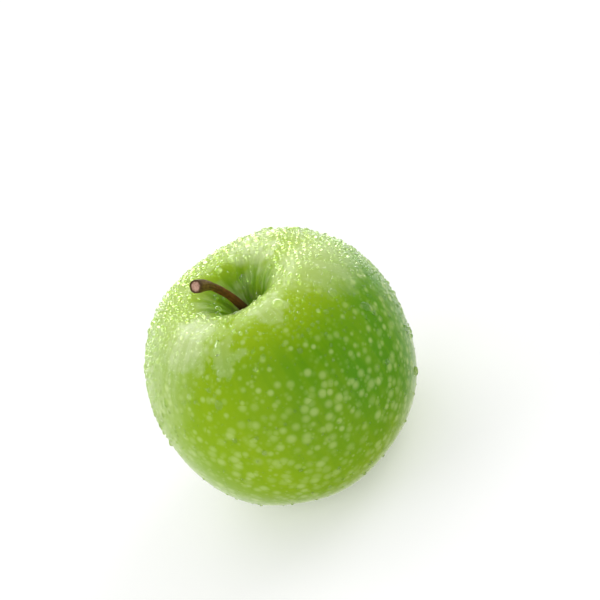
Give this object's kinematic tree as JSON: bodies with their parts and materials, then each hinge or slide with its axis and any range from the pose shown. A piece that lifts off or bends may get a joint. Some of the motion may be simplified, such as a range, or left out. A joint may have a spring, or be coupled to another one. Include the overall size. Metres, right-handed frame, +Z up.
{
  "type": "apple",
  "caption": "Whole green apple with a bowed woody stem in its cavity and a dried calyx in its basin, standing on the lobes of its base.",
  "frame": {"origin": "on the resting plane, under the middle of the fruit's box", "axes": "+Z up along the core towards the stem, -Y towards the first lobe, +X to the right of a viewer who faces that lobe"},
  "size_m": [0.0776, 0.0784, 0.0773],
  "materials": {
    "skin": "gloss",
    "bark": "matte",
    "dried_leaf": "matte",
    "dried_thread": "matte",
    "water": "polished"
  },
  "bodies": {
    "root": {"fruit": "skin", "stem": "bark", "sepal_1": "dried_leaf", "sepal_2": "dried_leaf", "sepal_3": "dried_leaf", "sepal_4": "dried_leaf", "sepal_5": "dried_leaf", "dried_stamens": "dried_thread", "dried_styles": "dried_thread"}
  },
  "joints": []
}
